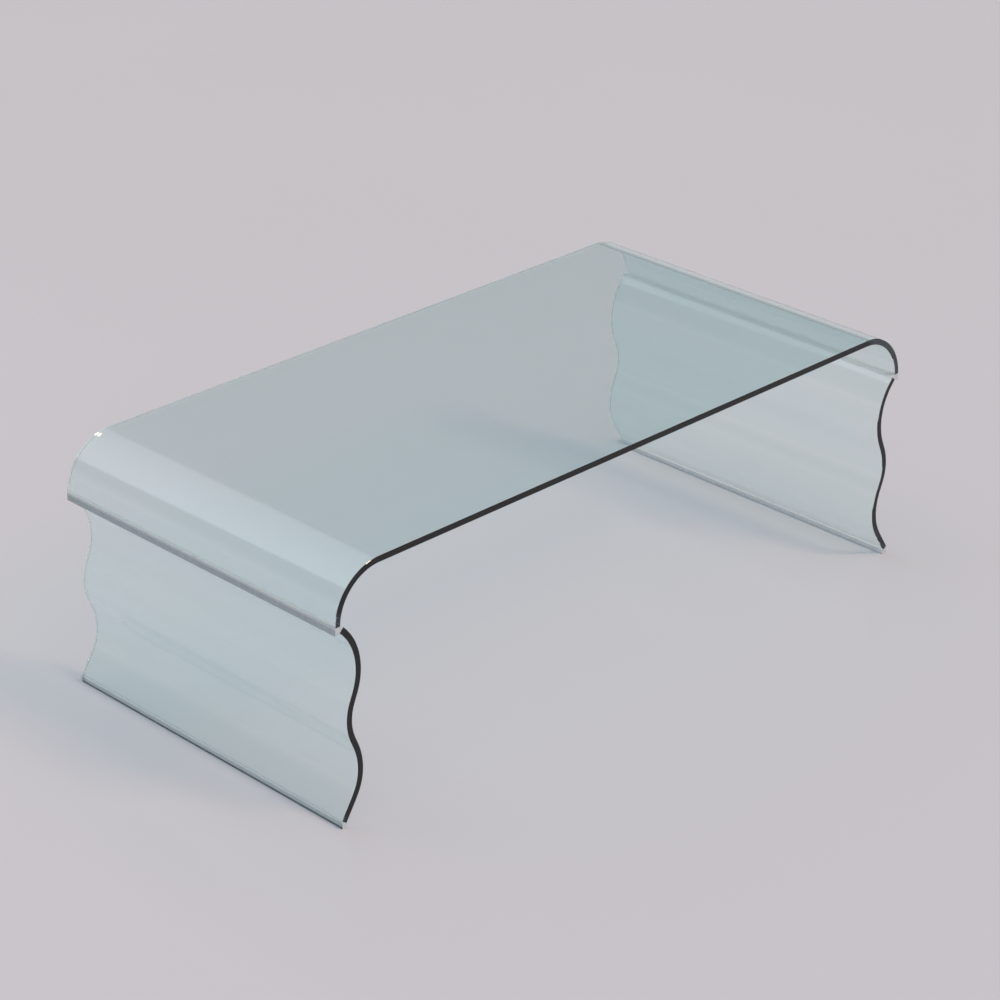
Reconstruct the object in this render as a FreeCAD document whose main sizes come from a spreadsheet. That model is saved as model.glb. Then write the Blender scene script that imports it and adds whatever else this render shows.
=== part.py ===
import FreeCAD, Part
import math
import os

import Sketcher
from FreeCAD import Placement, Rotation, Vector

# Waterfall coffee table of clear bent glass.
#
# One sheet makes the flat top and rolls down at both ends in a bend. Below each bend the
# outline folds inwards at a sharp crease, where a clear resin joint carries a second sheet:
# the leg panel, which waves in, out, in and out again down to the floor. Each leg panel's
# square-cut end stands in a clear strip with a flat underside.
#
# Frame: millimetres, +Z up, origin on the floor under the middle of the top.
# X runs along the table, Y across it, and every piece is one outline in the XZ plane
# carried through the whole depth. The right-hand pieces are drawn where they stand, and
# the left-hand ones are the same pieces turned half a turn about Z.

# Driving dimensions: name, value, meaning. Lengths in mm, angles in degrees.
SIZES = (
    ("table_length", "1232", "over the outer faces of the two bends"),
    ("table_depth", "600", "front edge to back edge"),
    ("table_height", "409", "floor to the top face"),
    ("glass_thickness", "10", "of all three sheets"),
    ("edge_arris", "0.8", "flat along each corner of the polished front and back edges"),
    ("bend_radius", "75", "of the inner face where the top rolls over"),
    ("bend_sweep", "88", "angle that the top turns through before its cut end"),
    ("crease_drop", "10", "lowest line of the crease joint, below the centre of the bend"),
    ("pinch_inset", "36.8", "outer face of the leg at its two pinches, in from the bend"),
    ("upper_pinch_drop", "65", "upper pinch below the lowest line of the crease joint"),
    ("lower_pinch_height", "87", "lower pinch above the floor"),
    ("pinch_radius", "94", "of the outer face, hollow at a pinch"),
    ("bulge_radius", "84", "of the outer face, rounded between the pinches"),
    ("foot_radius", "75", "of the outer face, below the lower pinch"),
    ("foot_splay", "32", "angle of the straight foot from upright"),
    ("leg_top_angle", "46", "angle of the leg panel from upright at its cut top end"),
    ("foot_strip_height", "7.5", "floor to the inner corner of the leg panel's cut end"),
)

SIDES = (("right", 0.0), ("left", 180.0))
START, END, CENTRE = 1, 2, 3
ORIGIN = (-1, START)

doc = FreeCAD.newDocument("WaterfallTable")


def make_sheet():
    """The spreadsheet of driving dimensions, and the same values as numbers."""
    sheet = doc.addObject("Spreadsheet::Sheet", "Sizes")
    values = {}
    for row, (name, value, meaning) in enumerate(SIZES, start=1):
        sheet.set(f"A{row}", meaning)
        sheet.set(f"B{row}", value)
        sheet.setAlias(f"B{row}", name)
        values[name] = float(value)
    doc.recompute()
    return values


size = make_sheet()

# Formulas shared by several outlines, in the sheet's names.
BEND_OUTER = "(Sizes.bend_radius + Sizes.glass_thickness)"
BEND_X = f"(Sizes.table_length / 2 - {BEND_OUTER})"
BEND_Z = f"(Sizes.table_height - {BEND_OUTER})"
CREASE_Z = f"({BEND_Z} - Sizes.crease_drop)"
PINCH_FACE_X = "(Sizes.table_length / 2 - Sizes.pinch_inset)"
PINCH_X = f"({PINCH_FACE_X} + Sizes.pinch_radius)"
PINCH_Z = f"({CREASE_Z} - Sizes.upper_pinch_drop)"

# The same places as numbers, to draw each outline where its constraints will hold it.
bend_outer = size["bend_radius"] + size["glass_thickness"]
bend_centre = Vector(size["table_length"] / 2 - bend_outer, size["table_height"] - bend_outer)
crease = Vector(size["table_length"] / 2, bend_centre.y - size["crease_drop"])
pinch_face_x = size["table_length"] / 2 - size["pinch_inset"]
pinch_centre = Vector(pinch_face_x + size["pinch_radius"], crease.y - size["upper_pinch_drop"])


def polar(centre, radius, degrees):
    """The point at that angle on a circle in the outline's plane."""
    angle = math.radians(degrees)
    return centre + Vector(radius * math.cos(angle), radius * math.sin(angle))


class Outline:
    """A closed outline in the XZ plane of its own body, sized from the sheet."""

    def __init__(self, name):
        self.body = doc.addObject("PartDesign::Body", name)
        self.body.Label = name
        self.sketch = self.body.newObject("Sketcher::SketchObject", f"{name}_outline")
        plane = next(f for f in self.body.Origin.OriginFeatures if f.Role == "XZ_Plane")
        self.sketch.AttachmentSupport = (plane, [""])
        self.sketch.MapMode = "FlatFace"

    def line(self, start, end):
        return self.sketch.addGeometry(Part.LineSegment(start, end))

    def arc(self, centre, radius, first, last):
        circle = Part.Circle(centre, Vector(0, 0, 1), radius)
        return self.sketch.addGeometry(
            Part.ArcOfCircle(circle, math.radians(first), math.radians(last)))

    def tie(self, kind, *places):
        """A geometric constraint."""
        self.sketch.addConstraint(Sketcher.Constraint(kind, *places))

    def join(self, kind, *pairs):
        """The same constraint between the two (element, point) places of each pair."""
        for first, second in pairs:
            self.tie(kind, *first, *second)

    def bound(self, constraint, formula):
        index = self.sketch.addConstraint(constraint)
        self.sketch.setExpression(f"Constraints[{index}]", formula)

    def across(self, element, point, formula):
        """Distance of a point from the origin along X."""
        here = self.sketch.getPoint(element, point).x
        self.bound(Sketcher.Constraint("DistanceX", *ORIGIN, element, point, here), formula)

    def up(self, element, point, formula):
        """Height of a point above the floor."""
        here = self.sketch.getPoint(element, point).y
        self.bound(Sketcher.Constraint("DistanceY", *ORIGIN, element, point, here), formula)

    def radius(self, element, formula):
        here = self.sketch.Geometry[element].Radius
        self.bound(Sketcher.Constraint("Radius", element, here), formula)

    def slope(self, element, degrees, formula):
        """Direction of a line, counted from +X towards +Z."""
        self.bound(Sketcher.Constraint("Angle", element, math.radians(degrees)), formula)

    def through_depth(self, arrised):
        """Carry the outline through the table's depth, and take off its long corners."""
        pad = self.body.newObject("PartDesign::Pad", f"{self.body.Name}_pad")
        pad.Profile = self.sketch
        pad.SideType = "Symmetric"
        pad.setExpression("Length", "Sizes.table_depth")
        doc.recompute()
        if arrised:
            chamfer = self.body.newObject("PartDesign::Chamfer", f"{self.body.Name}_arris")
            chamfer.Base = (pad, long_edges(pad.Shape))
            chamfer.setExpression("Size", "Sizes.edge_arris")
            doc.recompute()
        return self.body


def long_edges(shape):
    """The edges of the front and back faces, without the short ones at the cut ends."""
    names = []
    for number, edge in enumerate(shape.Edges, start=1):
        box = edge.BoundBox
        on_face = box.YLength < 0.01 and abs(abs(box.YMin) - size["table_depth"] / 2) < 0.01
        if on_face and edge.Length > 1.01 * size["glass_thickness"]:
            names.append(f"Edge{number}")
    return names


def top_panel():
    """The flat top and its two rolled ends, one bent sheet."""
    outline = Outline("top_panel")
    right = bend_centre
    left = Vector(-right.x, right.y)
    low, high = 90 - size["bend_sweep"], 90 + size["bend_sweep"]
    faces = []
    for radius in (bend_outer, size["bend_radius"]):
        rise = Vector(0, radius)
        flat = outline.line(left + rise, right + rise)
        right_bend = outline.arc(right, radius, low, 90)
        left_bend = outline.arc(left, radius, 90, high)
        outline.tie("Horizontal", flat)
        outline.join("Tangent", ((flat, END), (right_bend, END)),
                     ((flat, START), (left_bend, START)))
        faces.append((flat, right_bend, left_bend))
    (_, right_outer, left_outer), (_, right_inner, left_inner) = faces
    right_end = outline.line(polar(right, size["bend_radius"], low), polar(right, bend_outer, low))
    left_end = outline.line(polar(left, size["bend_radius"], high), polar(left, bend_outer, high))
    outline.join("Coincident",
                 ((right_outer, CENTRE), (right_inner, CENTRE)),
                 ((left_outer, CENTRE), (left_inner, CENTRE)),
                 ((right_end, START), (right_inner, START)),
                 ((right_end, END), (right_outer, START)),
                 ((left_end, START), (left_inner, END)),
                 ((left_end, END), (left_outer, END)))
    outline.tie("PointOnObject", right_outer, CENTRE, right_end)
    outline.tie("PointOnObject", left_outer, CENTRE, left_end)
    outline.tie("Symmetric", left_outer, CENTRE, right_outer, CENTRE, -2)
    outline.across(right_outer, CENTRE, BEND_X)
    outline.up(right_outer, CENTRE, BEND_Z)
    outline.radius(right_outer, BEND_OUTER)
    outline.radius(right_inner, "Sizes.bend_radius")
    outline.slope(right_end, low, "90 - Sizes.bend_sweep")
    outline.slope(left_end, high, "90 + Sizes.bend_sweep")
    return outline.through_depth(arrised=True)


def leg_face(outline, offset):
    """One face of the leg panel, from its cut top to its foot, as four arcs and a line.

    offset is 0 for the outer face and the glass thickness for the inner one."""
    pinch, bulge = size["pinch_radius"], size["bulge_radius"]
    low_centre = Vector(pinch_centre.x, size["lower_pinch_height"])
    half_pitch = (pinch_centre.y - low_centre.y) / 2
    turn = math.degrees(math.asin(half_pitch / (pinch + bulge)))
    bulge_centre = polar(low_centre, pinch + bulge, 180 - turn)
    foot_centre = Vector(pinch_face_x + size["foot_radius"], low_centre.y)
    foot_angle = 180 + size["foot_splay"]
    upper = outline.arc(pinch_centre, pinch + offset, 180 - size["leg_top_angle"], 180 + turn)
    middle = outline.arc(bulge_centre, bulge - offset, -turn, turn)
    lower = outline.arc(low_centre, pinch + offset, 180 - turn, 180)
    foot = outline.arc(foot_centre, size["foot_radius"] + offset, 180, foot_angle)
    foot_top = polar(foot_centre, size["foot_radius"] + offset, foot_angle)
    run = (foot_top.y - size["foot_strip_height"]) / math.cos(math.radians(size["foot_splay"]))
    straight = outline.line(polar(foot_top, run, size["foot_splay"] - 90), foot_top)
    outline.join("Tangent",
                 ((upper, END), (middle, END)),
                 ((middle, START), (lower, START)),
                 ((lower, END), (foot, START)),
                 ((foot, END), (straight, END)))
    return upper, middle, lower, foot, straight


def leg_panel(name):
    """The waved sheet that stands on the floor, from its joint down to its foot strip."""
    outline = Outline(name)
    outer = leg_face(outline, 0)
    inner = leg_face(outline, size["glass_thickness"])
    top_angle = 180 - size["leg_top_angle"]
    reach = size["pinch_radius"] + size["glass_thickness"]
    top_end = outline.line(polar(pinch_centre, size["pinch_radius"], top_angle),
                           polar(pinch_centre, reach, top_angle))
    foot_end = outline.line(outline.sketch.getPoint(inner[-1], START),
                            outline.sketch.getPoint(outer[-1], START))
    arcs = list(zip(outer[:-1], inner[:-1]))
    outline.join("Coincident", *(((a, CENTRE), (b, CENTRE)) for a, b in arcs))
    outline.join("Coincident",
                 ((top_end, START), (outer[0], START)),
                 ((top_end, END), (inner[0], START)),
                 ((foot_end, START), (inner[-1], START)),
                 ((foot_end, END), (outer[-1], START)))
    outline.tie("PointOnObject", outer[0], CENTRE, top_end)
    outline.tie("Vertical", outer[0], CENTRE, outer[2], CENTRE)
    outline.tie("Horizontal", outer[2], CENTRE, outer[2], END)
    outline.tie("Parallel", outer[-1], inner[-1])
    outline.tie("Perpendicular", foot_end, outer[-1])
    outline.across(outer[0], CENTRE, PINCH_X)
    outline.up(outer[0], CENTRE, PINCH_Z)
    outline.up(outer[2], CENTRE, "Sizes.lower_pinch_height")
    outline.radius(outer[0], "Sizes.pinch_radius")
    outline.radius(inner[0], "Sizes.pinch_radius + Sizes.glass_thickness")
    outline.radius(outer[1], "Sizes.bulge_radius")
    outline.radius(outer[2], "Sizes.pinch_radius")
    outline.radius(outer[3], "Sizes.foot_radius")
    outline.slope(top_end, top_angle, "180 - Sizes.leg_top_angle")
    outline.slope(outer[-1], 90 + size["foot_splay"], "90 + Sizes.foot_splay")
    outline.up(inner[-1], START, "Sizes.foot_strip_height")
    return outline.through_depth(arrised=True)


def closed_polygon(outline, corners):
    """Lines from corner to corner, joined into a ring."""
    lines = [outline.line(a, b) for a, b in zip(corners, corners[1:] + corners[:1])]
    outline.join("Coincident",
                 *(((a, END), (b, START)) for a, b in zip(lines, lines[1:] + lines[:1])))
    return lines


def crease_joint(name):
    """The clear resin that fills the crease between the two square-cut sheets."""
    outline = Outline(name)
    reach = size["pinch_radius"] + size["glass_thickness"]
    roll, lean = 90 - size["bend_sweep"], 180 - size["leg_top_angle"]
    corners = [polar(bend_centre, bend_outer, roll),
               polar(bend_centre, size["bend_radius"], roll),
               polar(pinch_centre, reach, lean),
               polar(pinch_centre, size["pinch_radius"], lean),
               crease]
    top_outer, top_inner, leg_inner, leg_outer, lip = closed_polygon(outline, corners)
    for line, radius in ((top_outer, BEND_OUTER), (top_inner, "Sizes.bend_radius")):
        outline.across(line, START, f"{BEND_X} + {radius} * sin(Sizes.bend_sweep)")
        outline.up(line, START, f"{BEND_Z} + {radius} * cos(Sizes.bend_sweep)")
    inner_radius = "(Sizes.pinch_radius + Sizes.glass_thickness)"
    for line, radius in ((leg_inner, inner_radius), (leg_outer, "Sizes.pinch_radius")):
        outline.across(line, START, f"{PINCH_X} - {radius} * cos(Sizes.leg_top_angle)")
        outline.up(line, START, f"{PINCH_Z} + {radius} * sin(Sizes.leg_top_angle)")
    outline.across(lip, START, "Sizes.table_length / 2")
    outline.up(lip, START, CREASE_Z)
    return outline.through_depth(arrised=False)


def foot_strip(name):
    """The clear strip under the leg panel's cut end, flat on the floor."""
    outline = Outline(name)
    splay = math.radians(size["foot_splay"])
    reach = size["foot_radius"] + size["glass_thickness"]
    drop = size["lower_pinch_height"] - reach * math.sin(splay) - size["foot_strip_height"]
    inner_x = (pinch_face_x + size["foot_radius"] - reach * math.cos(splay)
               + drop * math.tan(splay))
    inner = Vector(inner_x, size["foot_strip_height"])
    outer = polar(inner, size["glass_thickness"], size["foot_splay"])
    corners = [inner, outer, Vector(outer.x, 0), Vector(inner.x, 0)]
    seat, outer_side, underside, inner_side = closed_polygon(outline, corners)
    outline.tie("Vertical", outer_side)
    outline.tie("Vertical", inner_side)
    outline.tie("Horizontal", underside)
    outline.tie("PointOnObject", underside, START, -1)
    length = Sketcher.Constraint("Distance", seat, size["glass_thickness"])
    outline.bound(length, "Sizes.glass_thickness")
    outline.slope(seat, size["foot_splay"], "Sizes.foot_splay")
    foot_reach = "(Sizes.foot_radius + Sizes.glass_thickness)"
    foot_drop = (f"(Sizes.lower_pinch_height - {foot_reach} * sin(Sizes.foot_splay)"
                 " - Sizes.foot_strip_height)")
    outline.across(seat, START,
                   f"{PINCH_FACE_X} + Sizes.foot_radius - {foot_reach} * cos(Sizes.foot_splay)"
                   f" + {foot_drop} * tan(Sizes.foot_splay)")
    outline.up(seat, START, "Sizes.foot_strip_height")
    return outline.through_depth(arrised=False)


def make_table():
    pieces = [top_panel()]
    for side, turn in SIDES:
        for make, kind in ((leg_panel, "leg_panel"), (crease_joint, "crease_joint"),
                           (foot_strip, "foot_strip")):
            piece = make(f"{side}_{kind}")
            piece.Placement = Placement(Vector(), Rotation(Vector(0, 0, 1), turn))
            pieces.append(piece)
    doc.recompute()
    return pieces


def check(pieces):
    """Stop before anything is written if a feature failed or a solid is unsound."""
    for item in doc.Objects:
        if {"Invalid", "Error"} & set(item.State):
            raise RuntimeError(f"{item.Label} failed: {item.State}")
        if item.TypeId == "Sketcher::SketchObject" and item.solve() != 0:
            raise RuntimeError(f"{item.Label} has constraints that do not agree")
    for piece in pieces:
        shape = piece.Shape
        if shape.isNull() or not shape.isValid() or len(shape.Solids) != 1:
            raise RuntimeError(f"{piece.Label} is not one valid solid")


def write(pieces):
    os.makedirs("parts", exist_ok=True)
    for piece in pieces:
        piece.Shape.exportStep(f"parts/{piece.Label}.step")
        box = piece.Shape.BoundBox
        print(f"{piece.Label}: {piece.Shape.Volume / 1000:.1f} cm3, "
              f"X {box.XMin:.2f} to {box.XMax:.2f}, Z {box.ZMin:.2f} to {box.ZMax:.2f}")


table = make_table()
check(table)
write(table)
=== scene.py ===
"""Waterfall coffee table of clear bent glass: its looks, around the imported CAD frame.

Metres, +Z up, origin on the floor under the middle of the top. X runs along the table and
Y across it. Each sheet of glass is rebuilt here finer than the CAD mesh, because light is
bent by its curves. The right-hand pieces are drawn where they stand, and the left-hand
ones are the same pieces turned half a turn about Z.
"""
import math

import bpy
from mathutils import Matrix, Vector


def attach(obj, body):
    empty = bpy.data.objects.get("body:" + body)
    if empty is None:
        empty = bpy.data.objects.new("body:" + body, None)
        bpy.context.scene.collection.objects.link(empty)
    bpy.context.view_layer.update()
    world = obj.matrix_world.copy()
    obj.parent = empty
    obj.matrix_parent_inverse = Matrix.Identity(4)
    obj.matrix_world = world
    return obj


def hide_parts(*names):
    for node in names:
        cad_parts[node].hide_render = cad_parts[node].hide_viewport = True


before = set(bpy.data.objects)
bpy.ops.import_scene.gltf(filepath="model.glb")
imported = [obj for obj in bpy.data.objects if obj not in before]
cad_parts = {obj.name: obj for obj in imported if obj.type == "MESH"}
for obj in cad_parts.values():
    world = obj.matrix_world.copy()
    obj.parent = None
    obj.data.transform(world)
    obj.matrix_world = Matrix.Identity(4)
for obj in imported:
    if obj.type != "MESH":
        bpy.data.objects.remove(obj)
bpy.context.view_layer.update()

# Sizes of the table, as in the CAD source: metres and degrees.
LENGTH, DEPTH, HEIGHT = 1.232, 0.600, 0.409
GLASS = 0.010            # thickness of every sheet
ARRIS = 0.0008           # flat along each long corner of a polished edge
BEND_RADIUS = 0.075      # inner face where the top rolls over
BEND_SWEEP = 88
CREASE_DROP = 0.010      # lowest line of the crease joint, below the centre of the bend
PINCH_INSET = 0.0368     # leg's outer face at its pinches, in from the bend
UPPER_PINCH_DROP = 0.065
LOWER_PINCH_HEIGHT = 0.087
PINCH_RADIUS = 0.094
BULGE_RADIUS = 0.084
FOOT_RADIUS = 0.075
FOOT_SPLAY = 32
LEG_TOP_ANGLE = 46
STRIP_HEIGHT = 0.0075    # floor to the inner corner of the leg panel's cut end

ARC_STEP = 1.0           # degrees of arc to one strip of a sheet's mesh
EVEN_STEP = 0.0015       # the same for a leg, as a length
EASE_REACH = 0.012       # how far to each side of a place its curve is evened out
SMOOTH_ANGLE = math.radians(20)

BEND_OUTER = BEND_RADIUS + GLASS
BEND_CENTRE = (LENGTH / 2 - BEND_OUTER, HEIGHT - BEND_OUTER)
CREASE = (LENGTH / 2, BEND_CENTRE[1] - CREASE_DROP)
PINCH_FACE_X = LENGTH / 2 - PINCH_INSET
PINCH_CENTRE = (PINCH_FACE_X + PINCH_RADIUS, CREASE[1] - UPPER_PINCH_DROP)


# Outlines in the XZ plane ----------------------------------------------------------------

def polar(centre, radius, degrees):
    angle = math.radians(degrees)
    return (centre[0] + radius * math.cos(angle), centre[1] + radius * math.sin(angle))


def arc(centre, radius, first, last, hollow=False):
    """Stations along an arc of a sheet's outer face: each a point and its outward normal.

    A hollow arc has its centre on the outer side of the sheet."""
    steps = math.ceil(abs(last - first) / ARC_STEP)
    side = -1 if hollow else 1
    stations = []
    for step in range(steps + 1):
        degrees = first + (last - first) * step / steps
        normal = polar((0, 0), side, degrees)
        stations.append((polar(centre, radius, degrees), normal))
    return stations


def joined(*runs):
    """One run of stations out of several, without the doubled ones where they meet."""
    path = []
    for run in runs:
        path += run[1:] if path else run
    return path


def top_path():
    """Outer face of the top, from the left cut end over both bends to the right one."""
    x, z = BEND_CENTRE
    return joined(arc((-x, z), BEND_OUTER, 90 + BEND_SWEEP, 90),
                  arc((x, z), BEND_OUTER, 90, 90 - BEND_SWEEP))


def leg_path():
    """Outer face of the right leg panel, from its cut top down to its foot."""
    low_centre = (PINCH_CENTRE[0], LOWER_PINCH_HEIGHT)
    half_pitch = (PINCH_CENTRE[1] - low_centre[1]) / 2
    reach = PINCH_RADIUS + BULGE_RADIUS
    turn = math.degrees(math.asin(half_pitch / reach))
    bulge_centre = polar(low_centre, reach, 180 - turn)
    foot_centre = (PINCH_FACE_X + FOOT_RADIUS, LOWER_PINCH_HEIGHT)
    splay = 180 + FOOT_SPLAY
    foot_top, normal = polar(foot_centre, FOOT_RADIUS, splay), polar((0, 0), -1, splay)
    inner_drop = foot_top[1] - GLASS * normal[1] - STRIP_HEIGHT
    run = inner_drop / math.cos(math.radians(FOOT_SPLAY))
    straight = [(foot_top, normal), (polar(foot_top, run, FOOT_SPLAY - 90), normal)]
    return joined(arc(PINCH_CENTRE, PINCH_RADIUS, 180 - LEG_TOP_ANGLE, 180 + turn, hollow=True),
                  arc(bulge_centre, BULGE_RADIUS, turn, -turn),
                  arc(low_centre, PINCH_RADIUS, 180 - turn, 180, hollow=True),
                  arc(foot_centre, FOOT_RADIUS, 180, splay, hollow=True),
                  straight)


def slopes(path):
    """How far along the path each station is, and the angle of its normal in radians."""
    marks, angles = [0.0], [math.atan2(path[0][1][1], path[0][1][0])]
    for (start, _), (end, normal) in zip(path, path[1:]):
        marks.append(marks[-1] + math.dist(start, end))
        angle = math.atan2(normal[1], normal[0])
        angles.append(angles[-1] + math.remainder(angle - angles[-1], 2 * math.pi))
    return marks, angles


def evened(marks, angles, count):
    """The angles at the ends of that many equal steps, instead of at the marks."""
    even, piece = [], 0
    for step in range(count + 1):
        mark = marks[-1] * step / count
        while piece < len(marks) - 2 and marks[piece + 1] < mark:
            piece += 1
        part = (mark - marks[piece]) / (marks[piece + 1] - marks[piece])
        even.append(angles[piece] + part * (angles[piece + 1] - angles[piece]))
    return even


def calmed(angles):
    """Each angle replaced by the mean of those around it, of fewer near the ends."""
    half, last = round(EASE_REACH / EVEN_STEP), len(angles) - 1
    calm = []
    for step in range(last + 1):
        span = min(half, step, last - step)
        calm.append(sum(angles[step - span:step + span + 1]) / (2 * span + 1))
    return calm


def walked(start, angles, length):
    """The points that are passed from the start, in steps of that length down the sheet."""
    x, z = start
    points = [(x, z)]
    for first, second in zip(angles, angles[1:]):
        angle = (first + second) / 2
        x, z = x + length * math.sin(angle), z - length * math.cos(angle)
        points.append((x, z))
    return points


def eased(path):
    """The same run between the same ends, with curves that swell and die away.

    Glass that sags over a mould has no sudden change from one curve to the next."""
    marks, angles = slopes(path)
    count = math.ceil(marks[-1] / EVEN_STEP)
    calm = calmed(evened(marks, angles, count))
    points = walked(path[0][0], calm, marks[-1] / count)
    miss_x, miss_z = path[-1][0][0] - points[-1][0], path[-1][0][1] - points[-1][1]
    return [((x + miss_x * step / count, z + miss_z * step / count),
             (math.cos(angle), math.sin(angle)))
            for step, ((x, z), angle) in enumerate(zip(points, calm))]


def under(station, depth):
    """The point that far below a station, measured into the sheet."""
    (x, z), (nx, nz) = station
    return (x - depth * nx, z - depth * nz)


def shifted(station, distance):
    """The outer and inner corners of a sheet's cut end, moved up along the sheet."""
    (x, z), (nx, nz) = station
    across, up = -distance * nz, distance * nx
    inner_x, inner_z = under(station, GLASS)
    return [(x + across, z + up), (inner_x + across, inner_z + up)]


# Meshes ----------------------------------------------------------------------------------

def new_piece(name, points, faces, surfaces, materials, turned):
    """A piece of the table in its place, or turned half a turn about Z.

    Its surfaces are the names of the materials of its faces."""
    turn = -1 if turned else 1
    mesh = bpy.data.meshes.new(name)
    mesh.from_pydata([(turn * x, turn * y, z) for x, y, z in points], [], faces)
    used = list(dict.fromkeys(surfaces))
    for surface in used:
        mesh.materials.append(materials[surface])
    mesh.polygons.foreach_set("material_index", [used.index(surface) for surface in surfaces])
    mesh.polygons.foreach_set("use_smooth", [True] * len(faces))
    mesh.set_sharp_from_angle(angle=SMOOTH_ANGLE)
    mesh.validate()
    piece = bpy.data.objects.new(name, mesh)
    bpy.context.scene.collection.objects.link(piece)
    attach(piece, "root")
    return piece


def sheet(name, path, glass, materials, turned=False):
    """A sheet of glass: its section, with arrised corners, carried along the path."""
    half, flat = DEPTH / 2, DEPTH / 2 - ARRIS
    section = [(0, -flat), (0, flat), (ARRIS, half), (GLASS - ARRIS, half),
               (GLASS, flat), (GLASS, -flat), (GLASS - ARRIS, -half), (ARRIS, -half)]
    front = 2 if turned else 6      # the flat that becomes the front edge
    count = len(section)
    points, faces, surfaces = [], [], []
    for station in path:
        for depth, y in section:
            x, z = under(station, depth)
            points.append((x, y, z))
    for row in range(len(path) - 1):
        for corner in range(count):
            a, b = row * count + corner, row * count + (corner + 1) % count
            faces.append((a, a + count, b + count, b))
            surfaces.append("edge" if corner == front else glass)
    last = (len(path) - 1) * count
    faces += [tuple(range(count)), tuple(range(last, last + count))[::-1]]
    surfaces += ["bond", "bond"]
    return new_piece(name, points, faces, surfaces, materials, turned)


def prism(name, corners, sides, materials, turned):
    """A closed outline in the XZ plane carried through the table's depth.

    Each of its sides, from one corner to the next, has its own material."""
    half, count = DEPTH / 2, len(corners)
    points = [(x, y, z) for y in (-half, half) for x, z in corners]
    faces = [tuple(range(count)), tuple(range(count, 2 * count))[::-1]]
    for a in range(count):
        b = (a + 1) % count
        faces.append((b, a, a + count, b + count))
    return new_piece(name, points, faces, ["end", "end", *sides], materials, turned)


# Materials -------------------------------------------------------------------------------

class Nodes:
    """The node tree of a material or of the world, built by short calls."""

    def __init__(self, owner, output="ShaderNodeOutputMaterial"):
        self.owner = owner
        owner.use_nodes = True
        self.tree = owner.node_tree
        self.tree.nodes.clear()
        self.output = self.tree.nodes.new(output)

    def add(self, kind, settings=(), **inputs):
        """A node, its settings, and its inputs by name: a value or another node's socket."""
        node = self.tree.nodes.new("ShaderNode" + kind)
        for key, value in dict(settings).items():
            setattr(node, key, value)
        for key, value in inputs.items():
            socket = node.inputs[key.replace("_", " ")]
            if isinstance(value, bpy.types.NodeSocket):
                self.tree.links.new(value, socket)
            else:
                socket.default_value = value
        return node

    def step(self, value, low, high, **ends):
        """A smooth step as the value goes from low to high: from 0 to 1, or between the ends."""
        names = {key.replace("_", " "): end for key, end in ends.items()}
        return self.add("MapRange", {"interpolation_type": "SMOOTHSTEP"}, Value=value,
                        **{"From Min": low, "From Max": high, **names}).outputs["Result"]

    def math(self, operation, first, second):
        """A sum, difference, product or power of two values or sockets."""
        node = self.tree.nodes.new("ShaderNodeMath")
        node.operation = operation
        for socket, value in zip(node.inputs, (first, second)):
            if isinstance(value, bpy.types.NodeSocket):
                self.tree.links.new(value, socket)
            else:
                socket.default_value = value
        return node.outputs[0]

    def ramp(self, value, *stops):
        """A colour that runs through the stops, each a position and a colour."""
        node = self.add("ValToRGB", Fac=value)
        elements = node.color_ramp.elements
        while len(elements) < len(stops):
            elements.new(1.0)
        for index, (position, colour) in enumerate(stops):
            elements[index].position = position
            elements[index].color = (*colour, 1)
        return node.outputs["Color"]

    def finish(self, surface):
        self.tree.links.new(surface, self.output.inputs["Surface"])
        return self.owner


IOR = 1.5                            # of the glass, and near enough of vinyl
TOP_TINT = (0.855, 0.975, 0.98)      # what one crossing of the top sheet lets through
LEG_TINT = (0.89, 1.0, 1.0)          # the same for a leg and for a foot strip
SHADE_TINT = (0.84, 0.955, 0.965)    # the same for the light on the floor behind a sheet
# Painted shade: the front edge faces are tinted almost black for the dark look of a sheet seen
# end-on, while the rear edges stay clear glass.
FRONT_EDGE_SHADE_TINT = (0.003, 0.005, 0.007)    # the front edges, almost black
VINYL_SHADE = (0.88, 0.91, 0.93)     # what a foot strip lets through to the floor beside it

# Smears: the scale and detail of their noise, its level where they set in, and the
# roughness of a clean and of a smeared place.
GLASS_SMEARS = (9.0, 5.0, 0.4, 0.0, 0.04)
EDGE_SMEARS = (40.0, 4.0, 0.3, 0.02, 0.10)
VINYL_SMEARS = (60.0, 4.0, 0.3, 0.0, 0.10)


def lets_lamps_through(nodes, glass, tint):
    """The glass shader, except that lamps and the sky light what is behind it.

    A ray from the floor to a lamp loses what the surface mirrors and tints, and isn't bent."""
    slant = nodes.add("LayerWeight", Blend=0.5).outputs["Facing"]
    sharp = nodes.math("POWER", slant, 5.0)
    passed = nodes.add("MapRange", Value=sharp, **{"To Min": 1.0, "To Max": 0.0})
    share = nodes.add("VectorMath", {"operation": "SCALE"}, Scale=passed.outputs["Result"])
    share.inputs[0].default_value = [math.sqrt(value) for value in tint]
    clear = nodes.add("BsdfTransparent", Color=share.outputs[0]).outputs["BSDF"]
    path = nodes.add("LightPath")
    surface = glass
    for ray in ("Is Shadow Ray", "Is Diffuse Ray"):
        mix = nodes.add("MixShader", Fac=path.outputs[ray])
        nodes.tree.links.new(surface, mix.inputs[1])
        nodes.tree.links.new(clear, mix.inputs[2])
        surface = mix.outputs["Shader"]
    return surface


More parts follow.
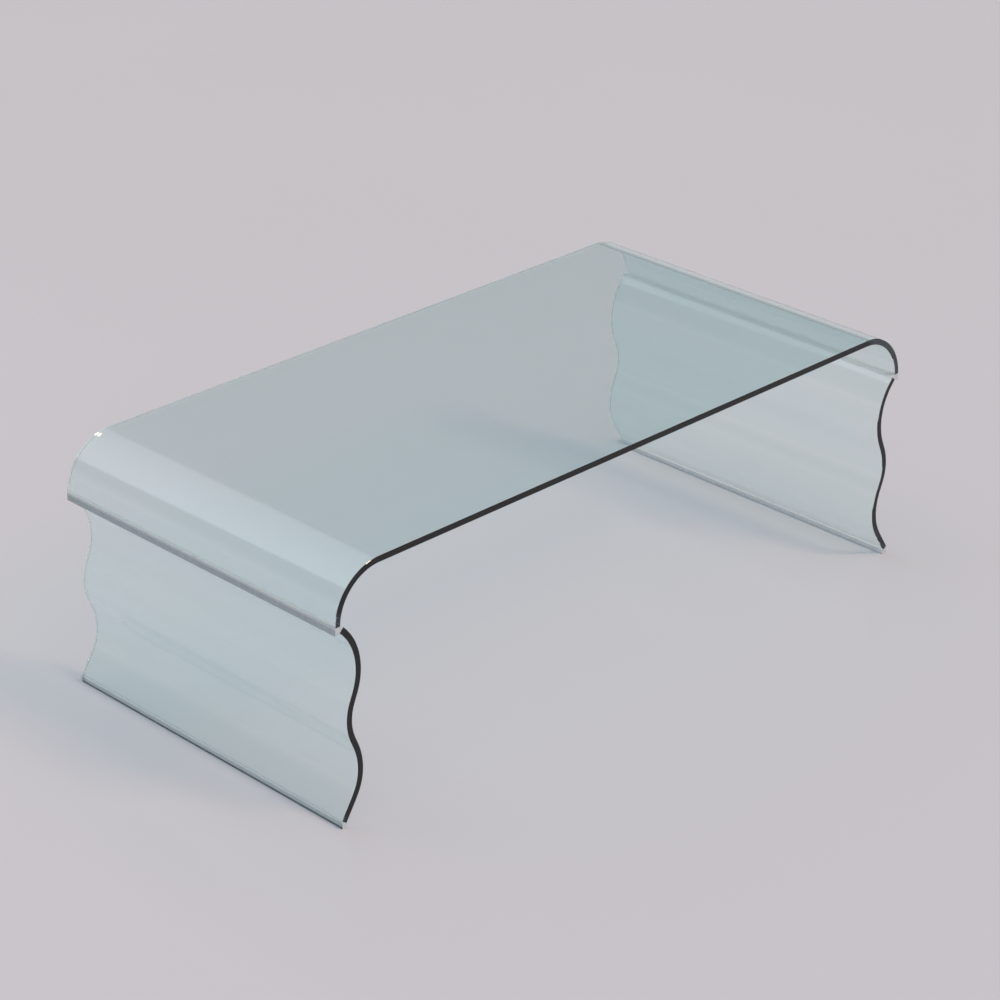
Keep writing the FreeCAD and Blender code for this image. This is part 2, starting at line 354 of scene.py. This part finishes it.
def smeared_material(name, tint, shade, scale, detail, first, clean, smeared):
    """Glass or vinyl with faint smears, where a noise of that scale is over its first level.

    The last two numbers are the roughness of a clean and of a smeared place."""
    nodes = Nodes(bpy.data.materials.new(name))
    place = nodes.add("TexCoord").outputs["Object"]
    smear = nodes.add("TexNoise", Vector=place, Scale=scale, Detail=detail).outputs["Fac"]
    rough = nodes.add("MapRange", Value=smear, **{"From Min": first, "From Max": 0.8,
                      "To Min": clean, "To Max": smeared}).outputs["Result"]
    shader = nodes.add("BsdfPrincipled", Roughness=rough, IOR=IOR,
                       **{"Base Color": (*tint, 1), "Transmission Weight": 1.0})
    return nodes.finish(lets_lamps_through(nodes, shader.outputs["BSDF"], shade))


def bond_material():
    """Bonded faces that carry light straight on from one piece into the next."""
    nodes = Nodes(bpy.data.materials.new("clear_bond"))
    return nodes.finish(nodes.add("BsdfTransparent").outputs["BSDF"])


def clouded_material(name, scale, rough, darker, lighter):
    """An opaque material that wanders between two colours."""
    nodes = Nodes(bpy.data.materials.new(name))
    place = nodes.add("TexCoord").outputs["Object"]
    cloud = nodes.add("TexNoise", Vector=place, Scale=scale, Detail=4.0).outputs["Fac"]
    tone = nodes.ramp(cloud, (0.3, darker), (0.7, lighter))
    shader = nodes.add("BsdfPrincipled", Roughness=rough, **{"Base Color": tone})
    return nodes.finish(shader.outputs["BSDF"])


def table_materials():
    """The materials of the table, each under the name that its faces know it by."""
    smeared, clouded = smeared_material, clouded_material
    return {
        "top_glass": smeared("clear_bent_glass", TOP_TINT, SHADE_TINT, *GLASS_SMEARS),
        "leg_glass": smeared("clear_leg_glass", LEG_TINT, SHADE_TINT, *GLASS_SMEARS),
        # Painted shade: only the front edge faces get this almost black glass.
        "edge": smeared("front_edge_painted_dark", FRONT_EDGE_SHADE_TINT, FRONT_EDGE_SHADE_TINT, *EDGE_SMEARS),
        "vinyl": smeared("clear_vinyl", LEG_TINT, VINYL_SHADE, *VINYL_SMEARS),
        "bond": bond_material(),
        "end": clouded("cut_end", 400.0, 0.35, (0.44, 0.50, 0.56), (0.54, 0.60, 0.66)),
        # Painted shadow: the foot strip's underside is near black, standing in for the contact
        # shadow on the floor.
        "base": clouded("underside_painted_contact_shadow", 80.0, 0.5, (0.05, 0.07, 0.08), (0.08, 0.11, 0.13)),
        # Painted shade: a grey for the band of shade just under each crease.
        "primer": clouded("crease_painted_shade", 120.0, 0.5, (0.38, 0.46, 0.48), (0.46, 0.55, 0.57)),
        "adhesive": clouded("pale_adhesive", 120.0, 0.4, (0.58, 0.62, 0.66), (0.66, 0.69, 0.73)),
        "backing": clouded("white_backing", 120.0, 0.4, (0.82, 0.86, 0.88), (0.88, 0.91, 0.93)),
    }


FLOOR_NEAR, FLOOR_FAR = -1.5, 10.5   # X + Y where the floor begins and ends to grow paler
FLOOR_TONES = ((0.0, (0.546, 0.563, 0.634)), (0.5, (0.575, 0.592, 0.655)),
               (1.0, (0.655, 0.672, 0.735)))
FLOOR_CLOUD = 0.05                   # share of the range of tones that a cloud may add


def floor_material():
    nodes = Nodes(bpy.data.materials.new("pale_floor"))
    place = nodes.add("TexCoord").outputs["Object"]
    cloud = nodes.add("TexNoise", Vector=place, Scale=1.1, Detail=3.0).outputs["Fac"]
    across = nodes.add("SeparateXYZ", Vector=place).outputs
    reach = nodes.math("ADD", across["X"], across["Y"])
    paler = nodes.add("MapRange", Value=reach, **{"From Min": FLOOR_NEAR, "From Max": FLOOR_FAR,
                      "To Min": 0.0, "To Max": 1.0 - FLOOR_CLOUD}).outputs["Result"]
    clouds = nodes.math("MULTIPLY", cloud, FLOOR_CLOUD)
    tone = nodes.ramp(nodes.math("ADD", paler, clouds), *FLOOR_TONES)
    rough = nodes.add("MapRange", Value=cloud, **{"From Min": 0.3, "From Max": 0.7,
                      "To Min": 0.12, "To Max": 0.20}).outputs["Result"]
    shader = nodes.add("BsdfPrincipled", Roughness=rough,
                       **{"Base Color": tone, "Specular IOR Level": 0.15})
    return nodes.finish(shader.outputs["BSDF"])


# The table -------------------------------------------------------------------------------

FILM = 0.0001            # glue between a sheet and what it is bonded to
SEAT_SHADED = 0.4        # share of a seam's seat painted grey as shade under the crease, from its outer corner
FACET_SHADED = 0.73      # share of a seam's outer facet painted grey as shade under the crease, from the crease


def between(start, end, share):
    """The point that share of the way from the start to the end."""
    return tuple(a + share * (b - a) for a, b in zip(start, end))


def seam_section(path):
    """Corners of a crease joint's section, and the material of each of its sides.

    Its adhesive laps a little way down over the leg's inner face."""
    head, below = path[:2]
    lip_outer, lip_inner = shifted(top_path()[-1], -FILM)
    outer, inner = shifted(head, FILM)
    lap = [under(head, GLASS + 2 * FILM), under(below, GLASS + 2 * FILM),
           under(below, GLASS + FILM), under(head, GLASS + FILM)]
    hidden = [lip_outer, lip_inner, *lap, inner]
    # Painted shade: the seat's outer part, its outer corner and the facet below the crease are
    # grey, for the shade under the crease.
    shaded = [between(outer, inner, SEAT_SHADED), outer, CREASE]
    corners = [*hidden, *shaded, between(CREASE, lip_outer, FACET_SHADED)]
    sides = ["adhesive"] * len(hidden) + ["primer"] * len(shaded) + ["adhesive"]
    return corners, sides


def strip_section(path):
    """Corners of a foot strip's section, and the material of each of its sides."""
    outer, inner = shifted(path[-1], -FILM)
    corners = [outer, inner, (inner[0], 0.0), (outer[0], 0.0)]
    # The underside is painted dark as the contact shadow where the strip meets the floor.
    return corners, ["bond", "backing", "base", "vinyl"]


def make_table():
    materials = table_materials()
    top = sheet("top_glass", top_path(), "top_glass", materials)
    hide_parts("top_panel")
    path = eased(leg_path())
    seam_shape, strip_shape = seam_section(path), strip_section(path)
    for side, turned in (("right", False), ("left", True)):
        leg = sheet(f"{side}_leg_glass", path, "leg_glass", materials, turned)
        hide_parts(f"{side}_leg_panel")
        seam = prism(f"{side}_crease_resin", *seam_shape, materials, turned)
        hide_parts(f"{side}_crease_joint")
        strip = prism(f"{side}_foot_vinyl", *strip_shape, materials, turned)
        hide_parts(f"{side}_foot_strip")


# Floor, light and camera -----------------------------------------------------------------

FLOOR_GAP = 0.0001       # keeps the floor's surface apart from the undersides
FLOOR_REACH = 30.0       # from the middle of the table to each side of the floor


def make_floor():
    low, high = -FLOOR_REACH, FLOOR_REACH
    mesh = bpy.data.meshes.new("floor")
    corners = [(low, low), (high, low), (high, high), (low, high)]
    mesh.from_pydata([(x, y, -FLOOR_GAP) for x, y in corners], [], [(0, 1, 2, 3)])
    mesh.materials.append(floor_material())
    floor = bpy.data.objects.new("floor", mesh)
    bpy.context.scene.collection.objects.link(floor)


KEY_AZIMUTH, KEY_ELEVATION = -66, 44            # degrees, the azimuth counted from +X
KEY_COLOUR = (1.0, 0.72, 0.48)
KEY_STRENGTH, KEY_SPREAD = 1.4, 14              # W/m2, and degrees across
KEY_DISTANCE = 4.0                              # only for where its symbol stands

# The sky, by the height (Z) and the side (X) of a direction, both from -1 to 1.
GLOW_HEIGHTS = (0.05, 0.30)                     # the horizon's glow fades between these
GLOW_LEVELS = (0.62, 0.27)                      # the sky's level below and above them
SKY_COLOURS = ((1.02, 0.97, 1.00), (0.95, 1.00, 1.06))  # and its colour, the softbox's too
BOX_HEIGHTS = (0.30, 0.52)                      # the softbox sets in between these
BOX_LEFT_END, BOX_RIGHT_END = (-0.56, -0.50), (0.48, 0.57)
BOX_SIDES, BOX_LEVELS = (-0.56, 0.50), (1.39, 0.62)     # two sides, and its levels there
HALO_REACH, HALO_LEVEL = 0.62, 0.42             # cosine of its half width, and its level


def lamp_way(azimuth, elevation):
    """The direction of a lamp, seen from the table."""
    a, e = math.radians(azimuth), math.radians(elevation)
    return Vector((math.cos(e) * math.cos(a), math.cos(e) * math.sin(a), math.sin(e)))


def softbox(nodes, way, glow):
    """How much more light the softbox gives than the glow. It stops sharply at both ends."""
    falloff = nodes.add("MapRange", Value=way["X"], **{
        "From Min": BOX_SIDES[0], "From Max": BOX_SIDES[1],
        "To Min": BOX_LEVELS[0], "To Max": BOX_LEVELS[1]}).outputs["Result"]
    left_end = nodes.step(way["X"], *BOX_LEFT_END)
    right_end = nodes.step(way["X"], *BOX_RIGHT_END, To_Min=1.0, To_Max=0.0)
    box = nodes.math("MULTIPLY", nodes.math("MULTIPLY", left_end, right_end),
                     nodes.step(way["Z"], *BOX_HEIGHTS))
    return nodes.math("MULTIPLY", box, nodes.math("SUBTRACT", falloff, glow))


def halo(nodes, sky_way):
    """The level of the warm glow around the key lamp."""
    nearness = nodes.add("VectorMath", {"operation": "DOT_PRODUCT"})
    nodes.tree.links.new(sky_way, nearness.inputs[0])
    nearness.inputs[1].default_value = lamp_way(KEY_AZIMUTH, KEY_ELEVATION)
    return nodes.step(nearness.outputs["Value"], HALO_REACH, 1.0, To_Min=0.0, To_Max=HALO_LEVEL)


def studio_sky():
    """Pale at the horizon, dim above it, and overhead a large softbox, lightest at its left."""
    nodes = Nodes(bpy.data.worlds.new("studio"), "ShaderNodeOutputWorld")
    sky_way = nodes.add("TexCoord").outputs["Generated"]
    way = nodes.add("SeparateXYZ", Vector=sky_way).outputs
    glow = nodes.step(way["Z"], *GLOW_HEIGHTS, To_Min=GLOW_LEVELS[0], To_Max=GLOW_LEVELS[1])
    level = nodes.math("ADD", glow, softbox(nodes, way, glow))
    tone = nodes.ramp(way["Z"], *zip(GLOW_HEIGHTS, SKY_COLOURS))
    light = nodes.add("Background", Color=tone, Strength=level)
    warm = nodes.add("Background", Color=(*KEY_COLOUR, 1), Strength=halo(nodes, sky_way))
    both = nodes.add("AddShader")
    nodes.tree.links.new(light.outputs["Background"], both.inputs[0])
    nodes.tree.links.new(warm.outputs["Background"], both.inputs[1])
    return nodes.finish(both.outputs["Shader"])


def make_lights():
    bpy.context.scene.world = studio_sky()
    sun = bpy.data.lights.new("key", "SUN")
    sun.energy, sun.angle, sun.color = KEY_STRENGTH, math.radians(KEY_SPREAD), KEY_COLOUR
    key = bpy.data.objects.new("key", sun)
    way = lamp_way(KEY_AZIMUTH, KEY_ELEVATION)
    key.location = KEY_DISTANCE * way
    key.rotation_euler = (-way).to_track_quat("-Z", "Y").to_euler()
    bpy.context.scene.collection.objects.link(key)


# The photograph's camera, fitted to the table's edges.
CAMERA_PLACE = (-3.0827, -3.1110, 2.3674)
CAMERA_LOOK = (0.631203, 0.636869, -0.442695)
CAMERA_LENS, CAMERA_SENSOR = 111.257, 36.0      # mm


def make_camera():
    lens = bpy.data.cameras.new("camera")
    lens.lens, lens.sensor_width = CAMERA_LENS, CAMERA_SENSOR
    camera = bpy.data.objects.new("camera", lens)
    camera.location = CAMERA_PLACE
    camera.rotation_euler = Vector(CAMERA_LOOK).to_track_quat("-Z", "Y").to_euler()
    bpy.context.scene.collection.objects.link(camera)
    bpy.context.scene.camera = camera


make_table()
make_floor()
make_lights()
make_camera()
bpy.context.scene.view_settings.view_transform = "Standard"
